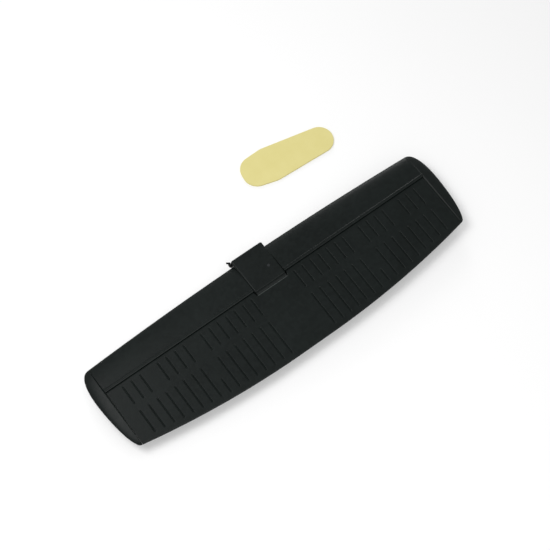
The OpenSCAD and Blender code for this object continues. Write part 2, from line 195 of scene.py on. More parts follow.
def grey(value, warm=0.0):
    return (value * (1 + warm), value, value * (1 - warm), 1.0)


print("middle grey:", grey(0.18))

# %% [markdown]
# The wing is moulded from black foam beads. Steam fuses the beads against a polished mould, so
# the skin is smooth and satin, and the beads only just show as a faint mosaic about 3 mm wide.
# A Voronoi texture gives the mosaic: its cell colour varies the black a little, the distance to
# the cell's edge gives shallow seams, and two noises add cloudy patches and a fine grain. The lip
# of the elevator's notch is painted paler as a highlight, which is a mask on the elevator's foam alone.

# %% Painted highlight on the notch's lip
NOTCH_DEPTH = 2.8 * MM
# Width, colour and patchiness of a paler band painted along the notch's lip as a highlight.
LIP_HIGHLIGHT_HALF = 0.8 * MM
LIP_HIGHLIGHT_COLOUR = (0.049, 0.056, 0.054, 1.0)
LIP_HIGHLIGHT_PATCH = 3 * MM
notch_lip_highlight = (root_x, NOTCH_DEPTH + LIP_HIGHLIGHT_HALF / 2, LIP_HIGHLIGHT_HALF)


def painted_highlight(finish, reach_x, middle_y, half_y):
    """A mask for the painted highlight: about 1 along the lip of the notch, and 0 elsewhere."""
    off_x = abs(finish.axis("X"))
    off_y = abs(finish.axis("Y") - middle_y)
    along = 1 - finish.clamp(off_x, 0.9 * reach_x, reach_x)
    across = 1 - finish.clamp(off_y, 0.5 * half_y, half_y)
    patches = 0.6 + 0.8 * finish.noise(LIP_HIGHLIGHT_PATCH)
    return along * across * patches


print("rubbed lip %.1f mm wide" % (2 * LIP_HIGHLIGHT_HALF / MM))

# %% Black bead foam
BOTTLE_TINT = (0.7, 1.0, 0.93)
WOBBLE_SCALE = 260.0
WOBBLE_SHARE = 0.0006
SEAM_REACH = 0.12
CLOUD_SIZE = 45 * MM
GRAIN_SIZE = 0.35 * MM


def bottle_black(value):
    """The foam's black, which leans a little to green."""
    return (*(value * tint for tint in BOTTLE_TINT), 1.0)


def bead_foam(name, tone, roughness, bead, seam_depth, lip=None):
    finish = Finish(name, Specular_IOR_Level=0.15)
    speckle = {"Vector": finish.place, "Scale": WOBBLE_SCALE}
    wobble = finish.node("ShaderNodeTexNoise", {}, speckle, "Color")
    shift = {0: WOBBLE_SHARE, 4: finish.place, 5: wobble}
    bent = finish.node("ShaderNodeMix", {"data_type": "VECTOR"}, shift, 1)
    cells = {"Vector": bent, "Scale": 1 / bead}
    hue = finish.node("ShaderNodeTexVoronoi", {}, cells, "Color")
    shade = finish.node("ShaderNodeSeparateColor", {}, {"Color": hue}, "Red")
    gap = finish.node("ShaderNodeTexVoronoi", {"feature": "DISTANCE_TO_EDGE"}, cells, "Distance")
    seam = finish.clamp(gap, 0.0, SEAM_REACH)
    cloud = finish.noise(CLOUD_SIZE, 4.0)
    grain = finish.noise(GRAIN_SIZE, 3.0, 0.6)
    mix = 0.55 * cloud + 0.22 * shade + 0.16 * grain
    colour = finish.blend(mix, bottle_black(tone * 0.55), bottle_black(tone * 1.5))
    # The lip mask paints a paler band on the notch's lip, which stands in for a highlight.
    if lip:
        colour = finish.blend(painted_highlight(finish, *lip), colour, LIP_HIGHLIGHT_COLOUR)
    height = 0.6 * seam + 0.25 * grain + 0.35 * shade
    return finish.feed(
        Base_Color=colour,
        Roughness=roughness - 0.1 + 0.12 * cloud + 0.06 * shade + 0.06 * grain,
        Normal=finish.bump(height, seam_depth, 0.35),
    )


wing_look = {"tone": 0.0085, "roughness": 0.36, "bead": 3.0 * MM, "seam_depth": 0.06 * MM}
block_look = {"tone": 0.0075, "roughness": 0.4, "bead": 2.4 * MM, "seam_depth": 0.09 * MM}
skin_foam = bead_foam("wing_skin_foam", **wing_look)
block_foam = bead_foam("saddle_block_foam", **block_look)
# The elevator's foam gets the painted highlight along the lip of its notch.
elevator_foam = bead_foam("elevator_skin_foam", **wing_look, lip=notch_lip_highlight)
print("foam finishes:", skin_foam.name, block_foam.name, elevator_foam.name)

# %% [markdown]
# The horn, the peg and the posts are moulded nylon. Such a moulding is dull, with a fine
# spark-eroded texture from its tool and faint streaks where the melt flowed. The horn and the peg
# are filled with carbon black. The posts are dark grey, so that the pip in the saddle's top shows
# as a paler spot.

# %% Black and grey nylon
COOL = -0.06
FLOW_SIZE = 6 * MM
SPARK_SIZE = 0.18 * MM


def moulded_nylon(name, dark, light, gloss):
    finish = Finish(name, Specular_IOR_Level=gloss)
    flow = finish.noise(FLOW_SIZE, 3.0, vector=finish.stretched(1, 1, 0.25))
    spark = finish.noise(SPARK_SIZE, 2.0, 0.7)
    return finish.feed(
        Base_Color=finish.blend(0.7 * flow + 0.3 * spark, grey(dark, COOL), grey(light, COOL)),
        Roughness=0.34 + 0.2 * flow + 0.1 * spark,
        Normal=finish.bump(spark, 0.03 * MM, 0.3),
    )


black_nylon = moulded_nylon("moulded_black_nylon", dark=0.003, light=0.007, gloss=0.08)
grey_nylon = moulded_nylon("moulded_grey_nylon", dark=0.017, light=0.028, gloss=0.2)
print("nylon finishes:", black_nylon.name, grey_nylon.name)

# %% [markdown]
# The spar tube, the joiner and the stiffener are pultruded carbon: straight black fibres along
# the rod in clear resin. Noise stretched along X gives long thin strands, and a clear coat on
# top gives the resin's gloss.

# %% Pultruded carbon
STRAND_SIZE = 0.25 * MM
TOW_SIZE = 1.1 * MM


def pultruded_carbon():
    finish = Finish("pultruded_carbon_rod", Coat_Roughness=0.12, Specular_IOR_Level=0.5)
    strand = finish.noise(STRAND_SIZE, 3.0, 0.6, finish.stretched(0.02, 1, 1))
    tow = finish.noise(TOW_SIZE, 2.0, 0.5, finish.stretched(0.04, 1, 1))
    return finish.feed(
        Base_Color=finish.blend(0.6 * strand + 0.4 * tow, grey(0.006), grey(0.05, -0.04)),
        Roughness=0.26 + 0.22 * strand,
        Coat_Weight=0.35 + 0.3 * tow,
        Normal=finish.bump(strand, 0.02 * MM, 0.4),
    )


carbon = pultruded_carbon()
print("carbon finish:", carbon.name)

# %% [markdown]
# The hinges are natural nylon, milky white, and their pins are drawn steel wire. Both are small,
# so their patterns are fine: clouding in the nylon, and long drawing marks along the wire.

# %% Milky hinge nylon and pin steel
def milky_nylon():
    finish = Finish("natural_hinge_nylon", Specular_IOR_Level=0.5)
    cloud = finish.noise(3 * MM, 3.0)
    grain = finish.noise(0.2 * MM, 2.0, 0.6)
    return finish.feed(
        Base_Color=finish.blend(cloud, (0.62, 0.61, 0.55, 1.0), (0.78, 0.77, 0.71, 1.0)),
        Roughness=0.36 + 0.14 * cloud + 0.08 * grain,
        Normal=finish.bump(grain, 0.02 * MM, 0.3),
    )


def drawn_steel():
    finish = Finish("drawn_steel_wire", Metallic=1.0)
    marks = finish.noise(0.05 * MM, 2.0, 0.6, finish.stretched(0.03, 1, 1))
    tarnish = finish.noise(1.5 * MM, 3.0)
    return finish.feed(
        Base_Color=finish.blend(tarnish, (0.46, 0.46, 0.47, 1.0), (0.62, 0.62, 0.63, 1.0)),
        Roughness=0.24 + 0.16 * marks + 0.1 * tarnish,
        Normal=finish.bump(marks, 0.01 * MM, 0.3),
    )


hinge_nylon = milky_nylon()
pin_steel = drawn_steel()
print("hinge finishes:", hinge_nylon.name, pin_steel.name)

# %% [markdown]
# The pad is closed-cell foam between two waxed paper liners. The liner is pale yellow with a
# low sheen, a faint cloudiness from the wax and soft shallow cockling. The foam shows only at
# its rim, as a greyer band full of tiny cut cells.

# %% Waxed liner and pad foam
LINER_DEEP = (0.66, 0.585, 0.215, 1.0)
LINER_PALE = (0.74, 0.67, 0.295, 1.0)
FOAM_DEEP = (0.3, 0.28, 0.17, 1.0)
FOAM_PALE = (0.5, 0.47, 0.31, 1.0)
CELL_SIZE = 0.3 * MM


def waxed_liner():
    finish = Finish("waxed_yellow_liner", Specular_IOR_Level=0.4)
    wax = finish.noise(14 * MM, 4.0)
    fibre = finish.noise(0.8 * MM, 3.0, 0.6, finish.stretched(1, 0.35, 1))
    cockle = finish.noise(22 * MM, 1.0)
    return finish.feed(
        Base_Color=finish.blend(0.75 * wax + 0.25 * fibre, LINER_DEEP, LINER_PALE),
        Roughness=0.44 + 0.16 * wax + 0.08 * fibre,
        Normal=finish.bump(0.85 * cockle + 0.15 * fibre, 0.25 * MM, 0.3),
    )


def cut_cell_foam():
    finish = Finish("closed_cell_pad_foam", Specular_IOR_Level=0.25)
    cells = {"Vector": finish.place, "Scale": 1 / CELL_SIZE}
    cell = finish.node("ShaderNodeTexVoronoi", {}, cells, "Distance")
    cloud = finish.noise(8 * MM, 3.0)
    return finish.feed(
        Base_Color=finish.blend(0.6 * cell + 0.4 * cloud, FOAM_DEEP, FOAM_PALE),
        Roughness=0.78 + 0.15 * cell,
        Normal=finish.bump(cell, 0.08 * MM, 0.5),
    )


liner_paper = waxed_liner()
pad_core = cut_cell_foam()
print("pad finishes:", liner_paper.name, pad_core.name)

# %% [markdown]
# Every skin is made in a bmesh, Blender's editable mesh. A few small helpers serve them all: they
# sweep a row of edges on to a new place, round edges, and turn the bmesh into an object whose
# creases are sharp and whose curves are smooth. A Weighted Normal modifier then keeps wide flats
# flat beside their small roundings, which would otherwise bend the light far into them.

# %% Mesh helpers
CUT_WITHIN = 0.0001 * MM
SAME_POINT = 0.001 * MM
MERGE_WITHIN = 0.002 * MM
SAME_LINE = 0.01 * MM
SHARP_ANGLE = 1.0  # radians


def verts_of(result):
    return [item for item in result["geom"] if isinstance(item, bmesh.types.BMVert)]


def edges_of(result):
    return [item for item in result["geom"] if isinstance(item, bmesh.types.BMEdge)]


def edges_at(points):
    """The edges at some points, each one once."""
    return list(dict.fromkeys(edge for vert in points for edge in vert.link_edges))


def all_of(shape):
    return shape.verts[:] + shape.edges[:] + shape.faces[:]


def grow_edges(shape, edges, path=(0, 0, 0)):
    """Extrude edges along a path, and give back the new edges and the new points."""
    result = bmesh.ops.extrude_edge_only(shape, edges=edges)
    points = verts_of(result)
    bmesh.ops.translate(shape, vec=path, verts=points)
    fresh = set(points)
    grown = [edge for edge in edges_of(result) if edge.verts[0] in fresh and edge.verts[1] in fresh]
    return grown, points


def scale_points(shape, points, factors, place=(0, 0, 0)):
    """Scale points towards a place or away from it."""
    space = Matrix.Translation(-Vector(place))
    bmesh.ops.scale(shape, vec=factors, space=space, verts=points)


def open_edges(shape):
    return [edge for edge in shape.edges if edge.is_boundary]


def fill_holes(shape, edges=None):
    """Close the holes that some edges go round, or else all open ones."""
    bmesh.ops.holes_fill(shape, edges=edges or open_edges(shape), sides=0)


def edges_where(shape, holds):
    return [edge for edge in shape.edges if all(holds(vert.co) for vert in edge.verts)]


def round_edges(shape, edges, radius, segments=2):
    bmesh.ops.bevel(
        shape, geom=edges, offset=radius, offset_type="OFFSET", affect="EDGES",
        segments=segments, profile=0.5, material=-1, clamp_overlap=True,
    )


print("points nearer than %.3f mm count as one" % (SAME_POINT / MM))

# %% From bmesh to piece
CREASE_ANGLE = math.radians(32.0)


def make_piece(name, shape, material, body, nodes):
    """Close the bmesh into an object that rides on a body in place of its CAD nodes."""
    bmesh.ops.remove_doubles(shape, verts=shape.verts, dist=SAME_POINT)
    bmesh.ops.recalc_face_normals(shape, faces=shape.faces)
    for face in shape.faces:
        face.smooth = True
    for edge in shape.edges:
        edge.smooth = edge.is_manifold and edge.calc_face_angle(0.0) < CREASE_ANGLE
    ragged = len([edge for edge in shape.edges if not edge.is_manifold])
    mesh = bpy.data.meshes.new(name)
    shape.to_mesh(mesh)
    shape.free()
    mesh.materials.append(material)
    piece = bpy.data.objects.new(name, mesh)
    bpy.context.scene.collection.objects.link(piece)
    flats = piece.modifiers.new("flats", "WEIGHTED_NORMAL")
    flats.keep_sharp = True
    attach(piece, body)
    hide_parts(*nodes)
    print("%s: %d faces, %d open edges" % (name, len(mesh.polygons), ragged))
    return piece


print("edges bent by %.0f degrees or more stay sharp" % math.degrees(CREASE_ANGLE))

# %% [markdown]
# A stabilizer panel is a wing section with a round leading edge and, at the back, two thin lips
# round a hollow cove that the elevator's nose turns in. A raised bead runs along each lip. The
# section is drawn with two circles: one squashed into the outer skin, one that is the cove. The
# skin's ends are carried over the beads in small steps.

# %% Panel section
LEADING_SWEEP = 4.6 * MM
COVE_GAP = 0.5 * MM
BEAD_STEPS = 6
BEAD_START = 0.22
lead_root = panel_low.y
cove_radius = nose_radius + COVE_GAP


def leading_edge(x):
    straight = lead_root - LEADING_SWEEP * (root_x / joint_x) ** 2
    return straight + LEADING_SWEEP * (x / joint_x) ** 2


def across_span(shape, x, y, reach, height, segments):
    """The points of a circle that stands across the span, stretched to two reaches."""
    stretch = Matrix(((0, 0, 1, x), (reach, 0, 0, y), (0, height, 0, hinge_z), (0, 0, 0, 1)))
    return bmesh.ops.create_circle(shape, segments=segments, radius=1.0, matrix=stretch)["verts"]


def section_circle(shape, centre_y, reach, height, cut_y, segments):
    """A stretched circle at the root, cut off behind one line."""
    ring = across_span(shape, root_x, centre_y, reach, height, segments)
    bmesh.ops.bisect_plane(
        shape, geom=ring + edges_at(ring), dist=CUT_WITHIN,
        plane_co=(0, cut_y, 0), plane_no=(0, 1, 0), clear_outer=True,
    )


def loose_ends(shape):
    ends = [vert for vert in shape.verts if len(vert.link_edges) == 1]
    return sorted(ends, key=lambda vert: vert.co.z)


def bead_place(step):
    """How far along the bead a step lies, and how high over the skin, as shares of its size."""
    share = step / BEAD_STEPS
    if share <= 1:
        return BEAD_START + (0.5 - BEAD_START) * share, (1 - math.cos(math.pi * share)) / 2
    turn = math.pi / 2 * (share - 1)
    return (1 + math.sin(turn)) / 2, 2 * math.cos(turn) - 1


def add_beads(shape):
    ends = loose_ends(shape)
    for step in range(2 * BEAD_STEPS + 1):
        along, rise = bead_place(step)
        ends = bmesh.ops.extrude_vert_indiv(shape, verts=ends)["verts"]
        for vert in ends:
            height = skin_top + BEAD_RISE * rise
            vert.co.y = bead_y + BEAD_WIDTH * along
            vert.co.z = hinge_z + math.copysign(height, vert.co.z - hinge_z)


print("cove of %.2f mm radius" % (cove_radius / MM))

# %% [markdown]
# The open section is swept along the span, and the skin ahead of the bead is squeezed a little
# more at each station, so that the leading edge comes back in its gentle curve. A loft between
# two drawn ends would leave that edge straight. The lips are rounded and lose a small corner
# beside the saddle, and the right panel is the left one mirrored.

# %% Stabilizer panels
PANEL_STATIONS = 18
SKIN_SEGMENTS = 96
COVE_SEGMENTS = 64
LIP_ROUND = 0.12 * MM
LIP_CORNER = 0.6 * MM
LIP_SHORTEST = 1 * MM
ROOT_ROUND = 0.6 * MM
ROOT_ROUND_STOP = -cove_radius - 0.1 * MM


def sweep_panel(shape):
    ring = list(shape.edges)
    chord = bead_y - lead_root
    stride = (joint_x - root_x) / PANEL_STATIONS
    for station in range(1, PANEL_STATIONS + 1):
        ring, points = grow_edges(shape, ring, (stride, 0, 0))
        skin = [vert for vert in points if vert.co.y < bead_y - SAME_POINT]
        narrower = (bead_y - leading_edge(root_x + stride * station)) / chord
        scale_points(shape, skin, (1, narrower, 1), (0, bead_y, 0))
        chord *= narrower
    fill_holes(shape)


def cut_lip_corner(shape):
    bmesh.ops.bisect_plane(
        shape, geom=all_of(shape), dist=CUT_WITHIN,
        plane_co=(root_x + LIP_CORNER, lip_y, 0), plane_no=(-1, 1, 0), clear_outer=True,
    )
    fill_holes(shape)


def end_rims(shape):
    """The edges round both ends of the panel, ahead of the cove."""
    rims = []
    for end in (root_x, joint_x):
        rims += edges_where(
            shape, lambda place: place.y < ROOT_ROUND_STOP and abs(place.x - end) < SAME_LINE)
    return rims


def panel_shape(side):
    shape = bmesh.new()
    section_circle(shape, bead_y, bead_y - lead_root, skin_top, bead_y, SKIN_SEGMENTS)
    add_beads(shape)
    section_circle(shape, 0.0, cove_radius, cove_radius, lip_y, COVE_SEGMENTS)
    ends = loose_ends(shape)
    for low, high in (ends[:2], ends[2:]):
        shape.edges.new((low, high))
    sweep_panel(shape)
    lips = [edge for edge in edges_where(shape, lambda place: abs(place.y - lip_y) < SAME_LINE)
            if abs(edge.verts[0].co.x - edge.verts[1].co.x) > LIP_SHORTEST]
    round_edges(shape, lips, LIP_ROUND)
    cut_lip_corner(shape)
    round_edges(shape, end_rims(shape), ROOT_ROUND)
    scale_points(shape, shape.verts, (side, 1, 1))
    return shape


for node, side in (("left_panel", 1), ("right_panel", -1)):
    make_piece(node + "_skin", panel_shape(side), skin_foam, "stabilizer", [node])

# %% [markdown]
# A tip runs along the whole chord outside the crease, thick in front and thin behind, and falls
# to a rounded outer edge. A circle gives its joint outline: its points are moved on to the
# section, the front half an ellipse and the back half a long wedge. It is then swept outwards in
# steps that get thinner and wider by the same law as the moulding, which a bevel couldn't follow.
# It starts a little below the panel's skin, which leaves the crease. Two number layers ride along
# with the points, so that every swept point still knows where on the chord it began.

# %% Outline of the tips
EDGE_HALF = 1 * MM
EDGE_RADIUS = 840 * MM
EDGE_STRAIGHT = 16 * MM
EDGE_ROUND = 2 * MM


def trailing_edge(x):
    past = max(0.0, abs(x) - EDGE_STRAIGHT)
    return aft_y - EDGE_RADIUS + math.sqrt(EDGE_RADIUS ** 2 - past ** 2)


tip_front = leading_edge(joint_x)
tip_back = trailing_edge(joint_x)
tip_middle = (tip_front + tip_back) / 2
tip_reach = (tip_back - tip_front) / 2


def joint_half(y):
    """Half thickness of a tip at its joint: the panel's section, then a wedge with a round end."""
    if y < bead_y:
        return skin_top * math.sqrt(max(0.0, 1 - ((y - bead_y) / (tip_front - bead_y)) ** 2))
    wedge = skin_top + (EDGE_HALF - skin_top) * (y - bead_y) / (aft_y - bead_y)
    late = max(0.0, (y - tip_back + EDGE_ROUND) / EDGE_ROUND)
    return wedge * math.sqrt(max(0.0, 1 - late * late))


print("chord at the tip joint: %.1f mm" % (2 * tip_reach / MM))

# %% Wing tips
TIP_WIDTH = 11.2 * MM
TIP_RAKE = 2.7 * MM
TIP_SQUARENESS = 2.3
TIP_FALL = 1.2
TIP_STEPS = 12
TIP_SEGMENTS = 128
CREASE_STEP = 0.955
CREASE_INSET = 0.83


def tip_width(along):
    fullness = max(0.0, 1 - abs(along) ** TIP_SQUARENESS) ** (1 / TIP_SQUARENESS)
    return (TIP_WIDTH - TIP_RAKE * along) * fullness


def tip_shape(side):
    shape = bmesh.new()
    along = shape.verts.layers.float.new("along")
    half = shape.verts.layers.float.new("half")
    for vert in across_span(shape, joint_x, tip_middle, tip_reach, 1, TIP_SEGMENTS):
        vert[along] = (vert.co.y - tip_middle) / tip_reach
        vert[half] = math.copysign(joint_half(vert.co.y), vert.co.z - hinge_z)
        vert.co.z = hinge_z + vert[half] * CREASE_INSET
    ring = list(shape.edges)
    for step in range(TIP_STEPS + 1):
        s = CREASE_STEP * (1 - step / TIP_STEPS)
        ring, points = grow_edges(shape, ring)
        for vert in points:
            vert.co.x = joint_x + tip_width(vert[along]) * (1 - s * s)
            vert.co.z = hinge_z + vert[half] * s ** TIP_FALL
    bmesh.ops.remove_doubles(shape, verts=shape.verts, dist=MERGE_WITHIN)
    fill_holes(shape)
    for layer in ("half", "along"):
        shape.verts.layers.float.remove(shape.verts.layers.float[layer])
    scale_points(shape, shape.verts, (side, 1, 1))
    return shape


for node, side in (("left_tip", 1), ("right_tip", -1)):
    make_piece(node + "_skin", tip_shape(side), skin_foam, "stabilizer", [node])

# %% [markdown]
# The saddle is a plain block with soft edges, a wider foot plate and a round heel, which fits the
# hollow in front of the elevator. Two posts sit in it from below, each on a flange, and a small
# pip of the right one shows in the top. Boolean cuts would leave ragged triangles round the
# posts, so their seats are circles instead, swept up through the block and narrowed at each step.

# %% Seats of the posts
FOOT_THICK = 1.5 * MM
PIP_RADIUS = 1.3 * MM
PIP_HEIGHT = 2.5 * MM
POST_RADIUS = 2.5 * MM
FLANGE_THICK = 0.8 * MM
BOND_GAP = 0.05 * MM
SEAT_SEGMENTS = 40
saddle_low, saddle_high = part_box("saddle")
block_floor = FOOT_THICK / 2


def seat_mouth(shape, low, high, level):
    """A circle round a post's flange: its edges, its centre and its radius."""
    centre = Vector(((low.x + high.x) / 2, (low.y + high.y) / 2, level))
    radius = (high.x - low.x) / 2 + BOND_GAP
    place = Matrix.Translation(centre)
    mouth = bmesh.ops.create_circle(shape, segments=SEAT_SEGMENTS, radius=radius, matrix=place)
    return edges_at(mouth["verts"]), centre, radius


def plate_hole(shape, low, high):
    """The hole for a post's flange right through the foot plate."""
    ring = seat_mouth(shape, low, high, saddle_low.z)[0]
    grow_edges(shape, ring, (0, 0, FOOT_THICK))


def stepped_seat(shape, low, high):
    """The seat of one flanged post in the block, swept up from a circle round its flange."""
    ring, centre, radius = seat_mouth(shape, low, high, block_floor)
    shoulder = saddle_high.z - PIP_HEIGHT
    steps = [(FLANGE_THICK + BOND_GAP, POST_RADIUS), (shoulder + BOND_GAP, PIP_RADIUS)]
    if high.z > saddle_high.z - PIP_HEIGHT / 2:
        steps.append((saddle_high.z, 0.0))
    for level, narrower in steps:
        rise = level - ring[0].verts[0].co.z
        ring, points = grow_edges(shape, ring, (0, 0, rise))
        if narrower:
            ring, points = grow_edges(shape, ring)
            shrink = (narrower + BOND_GAP) / radius
            scale_points(shape, points, (shrink, shrink, 1), centre)
            radius = narrower + BOND_GAP
    if points[0].co.z < saddle_high.z - SAME_LINE:
        fill_holes(shape, ring)


print("saddle %.1f mm high" % (saddle_high.z / MM))

# %% [markdown]
# The heel is a round bar about the hinge line, cut off flat where it lies inside the block. Its
# rims are rounded, so that it doesn't scrape along the ends of the notch.

# %% Heel of the saddle
HEEL_INSET = 0.8 * MM
HEEL_SEGMENTS = 72
HEEL_WRAP = math.radians(40)
HEEL_ROUND = 0.5 * MM
HEEL_ROUND_STOP = 1 * MM
HEEL_SKIN = 0.1 * MM
saddle_half = root_x - BOND_GAP
heel_radius = saddle_high.y + HEEL_SKIN


def add_heel(shape):
    half = saddle_half - HEEL_INSET
    along = Matrix.Translation((0, 0, hinge_z)) @ Matrix.Rotation(math.pi / 2, 4, "Y")
    points = bmesh.ops.create_cone(
        shape, cap_ends=True, segments=HEEL_SEGMENTS, radius1=heel_radius, radius2=heel_radius,
        depth=2 * half, matrix=along,
    )["verts"]
    faces = list(dict.fromkeys(face for vert in points for face in vert.link_faces))
    flat_y = -heel_radius * math.sin(HEEL_WRAP)
    bmesh.ops.bisect_plane(
        shape, geom=points + edges_at(points) + faces, dist=SAME_POINT,
        plane_co=(0, flat_y, 0), plane_no=(0, -1, 0), clear_outer=True,
    )
    fill_holes(shape)
    ends = edges_where(shape, lambda place: abs(abs(place.x) - half) < SAME_LINE)
    stop_y = flat_y + HEEL_ROUND_STOP
    rims = [edge for edge in ends if all(vert.co.y > stop_y for vert in edge.verts)]
    round_edges(shape, rims, HEEL_ROUND, 3)


print("heel of %.2f mm radius" % (heel_radius / MM))

# %% [markdown]
# Block and plate are cubes whose edges are bevelled, the hind upper edge more than the others.
# Their flat faces are then taken out and filled again round the mouths of the posts' seats.

# %% Saddle block
SADDLE_BACK = 0.5 * MM
SADDLE_ROUND = 1.8 * MM
SADDLE_HIND_ROUND = 4 * MM
SADDLE_ROUND_STEPS = 8
FOOT_FRONT = 24 * MM
FOOT_BACK = 3 * MM
FOOT_ROUND = 0.4 * MM


def at_level(items, level):
    """The faces or edges that lie flat at one height."""
    return [item for item in items if all(abs(vert.co.z - level) < SAME_POINT for vert in item.verts)]


def box_between(shape, low, high):
    """A cube stretched between two corners: its edges."""
    stretch = Matrix.Diagonal((*(high - low), 1.0))
    place = Matrix.Translation((low + high) / 2) @ stretch
    return edges_at(bmesh.ops.create_cube(shape, size=1.0, matrix=place)["verts"])


def add_block(shape):
    low = Vector((-saddle_half, saddle_low.y, block_floor))
    high = Vector((saddle_half, SADDLE_BACK, saddle_high.z))
    hind = [edge for edge in box_between(shape, low, high)
            if all(vert.co.y == high.y and vert.co.z == high.z for vert in edge.verts)]
    round_edges(shape, hind, SADDLE_HIND_ROUND, SADDLE_ROUND_STEPS)
    sharp = [edge for edge in shape.edges if edge.calc_face_angle() > SHARP_ANGLE]
    upper = [edge for edge in sharp if max(vert.co.z for vert in edge.verts) > FOOT_THICK]
    round_edges(shape, upper, SADDLE_ROUND, SADDLE_ROUND_STEPS)


def saddle_shape():
    shape = bmesh.new()
    add_block(shape)
    low = Vector((saddle_low.x, -FOOT_FRONT, saddle_low.z))
    high = Vector((saddle_high.x, FOOT_BACK, FOOT_THICK))
    round_edges(shape, box_between(shape, low, high), FOOT_ROUND)
    levels = (saddle_low.z, block_floor, FOOT_THICK, saddle_high.z)
    for level in levels:
        bmesh.ops.delete(shape, geom=at_level(shape.faces, level), context="FACES_ONLY")
    for node in ("left_post", "right_post"):
        plate_hole(shape, *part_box(node))
        stepped_seat(shape, *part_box(node))
    for level in levels:
        rims = at_level(open_edges(shape), level)
        bmesh.ops.triangle_fill(shape, use_beauty=True, edges=rims, normal=(0, 0, 1))
    add_heel(shape)
    return shape


make_piece("saddle_skin", saddle_shape(), block_foam, "stabilizer", ["saddle"])

# %% [markdown]
# A short peg stands out of the saddle's left side, just ahead of the panel. It is moulded with an
# oval cap and a thin stub where its runner was broken off. A circle is swept out along the peg
# and widened to the cap, and a second, small circle is swept forwards from the cap to the stub's
# broken end.

# %% Side peg
PEG_RADIUS = 1.7 * MM
PEG_CAP = (2.3 * MM, 3.0 * MM)
PEG_CAP_LENGTH = 2 * MM
PEG_CAP_SHIFT = Vector((0.0, -1.0, 1.4)) * MM
PEG_ROUND = 0.5 * MM
PEG_SEGMENTS = 24
STUB_ROOT = 1.0 * MM
STUB_TIP = 0.7 * MM
STUB_PATH = Vector((2.0, -1.8, 0.0)) * MM
peg_low, peg_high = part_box("side_peg")
peg_middle = Vector((peg_low.x, peg_high.y - PEG_RADIUS, peg_low.z + PEG_RADIUS))
cap_start = saddle_half + BOND_GAP
cap_end = saddle_half + PEG_CAP_LENGTH


def peg_ring(shape, place, radius, across):
    """The edges of a closed circle that faces along a direction."""
    turn = across.to_track_quat("Z", "Y").to_matrix().to_4x4()
    points = bmesh.ops.create_circle(
        shape, segments=PEG_SEGMENTS, radius=radius, cap_ends=True,
        matrix=Matrix.Translation(place) @ turn,
    )["verts"]
    return edges_at(points)


def add_peg(shape):
    ring = peg_ring(shape, peg_middle, PEG_RADIUS, Vector((1, 0, 0)))
    ring = grow_edges(shape, ring, (cap_start - peg_middle.x, 0, 0))[0]
    ring, points = grow_edges(shape, ring)
    wider = (1, PEG_CAP[0] / PEG_RADIUS, PEG_CAP[1] / PEG_RADIUS)
    scale_points(shape, points, wider, peg_middle)
    bmesh.ops.translate(shape, vec=PEG_CAP_SHIFT, verts=points)
    ring = grow_edges(shape, ring, (cap_end - cap_start, 0, 0))[0]
    fill_holes(shape, ring)
    round_edges(shape, ring, PEG_ROUND, 3)


def add_stub(shape):
    cap_y = peg_middle.y - PEG_CAP[0] / 2
    cap_z = peg_middle.z + PEG_CAP[1] / 2
    root = Vector((cap_end - STUB_ROOT, cap_y, cap_z)) + PEG_CAP_SHIFT
    ring = peg_ring(shape, root, STUB_ROOT, STUB_PATH)
    ring, points = grow_edges(shape, ring, STUB_PATH)
    thinner = Vector((1, 1, 1)) * STUB_TIP / STUB_ROOT
    scale_points(shape, points, thinner, root + STUB_PATH)
    fill_holes(shape, ring)


def peg_shape():
    shape = bmesh.new()
    add_peg(shape)
    add_stub(shape)
    return shape


make_piece("side_peg_moulding", peg_shape(), black_nylon, "stabilizer", ["side_peg"])

# %% [markdown]
# The elevator is one long foam plate with a round nose. Its skin is cut with chordwise grooves,
# a front row and a rear row. Two columns on each side have no front groove, and one of these has
# a shorter rear one. Painted lines would vanish in a slanting light, so each groove is a real
# trough. One rule gives the depth of the skin at any place.

# %% Groove pattern
GROOVE_FIRST = 23.5 * MM
GROOVE_PITCH = 9.1 * MM
GROOVE_COUNT = 16
GROOVE_WIDTH = 1.9 * MM
GROOVE_DEPTH = 0.8 * MM
GROOVE_END = 0.25
FRONT_ROW = (2 * MM, 21.5 * MM)
REAR_MARGIN = 5 * MM
REAR_ROW = (28 * MM, aft_y - REAR_MARGIN)
SHORT_ROW = (48.2 * MM, aft_y - REAR_MARGIN)
PLAIN_COLUMNS = (7, 12)
SHORT_COLUMN = 7


def groove_rows(column):
    rows = [] if column in PLAIN_COLUMNS else [FRONT_ROW]
    return rows + [SHORT_ROW if column == SHORT_COLUMN else REAR_ROW]


def groove_depth(x, y):
    """Depth of the skin at a place: a groove is a soft trough with closed ends."""
    column = round((abs(x) - GROOVE_FIRST) / GROOVE_PITCH)
    if column not in range(GROOVE_COUNT):
        return 0.0
    across = min(0.5, abs(abs(x) - GROOVE_FIRST - GROOVE_PITCH * column) / GROOVE_WIDTH)
    inside = GROOVE_WIDTH * GROOVE_END
    if any(first + inside < y < last - inside for first, last in groove_rows(column)):
        return GROOVE_DEPTH * (1 + math.cos(2 * math.pi * across)) / 2
    return 0.0


grooves = sum(len(groove_rows(column)) for column in range(GROOVE_COUNT))
print("grooves on each half of a face:", grooves)

# %% [markdown]
# The skin itself is a straight taper from the nose to a rounded trailing edge, with a low bead
# along the notch. The sheet's lines bend towards the back, until they follow the trailing edge.

# %% Height of the elevator's skin
BEND_FIRST = 29.5 * MM
BEND_MARGIN = 8 * MM
BEND_LAST = aft_y - BEND_MARGIN
AFT_ROUND = 1 * MM
AFT_BLUNT = 0.97
NOTCH_FRONT = 0.9 * MM
NOTCH_REAR = 1.5 * MM
NOTCH_FALL = 0.25 * MM
NOTCH_RISE = 0.2 * MM
slope = (nose_radius - EDGE_HALF) / aft_y


def bent_place(x, y):
    """Where a line of the flat sheet lies once the trailing edge has its curve."""
    share = min(1.0, max(0.0, (y - BEND_FIRST) / (BEND_LAST - BEND_FIRST)))
    return y + (trailing_edge(x) - aft_y) * share


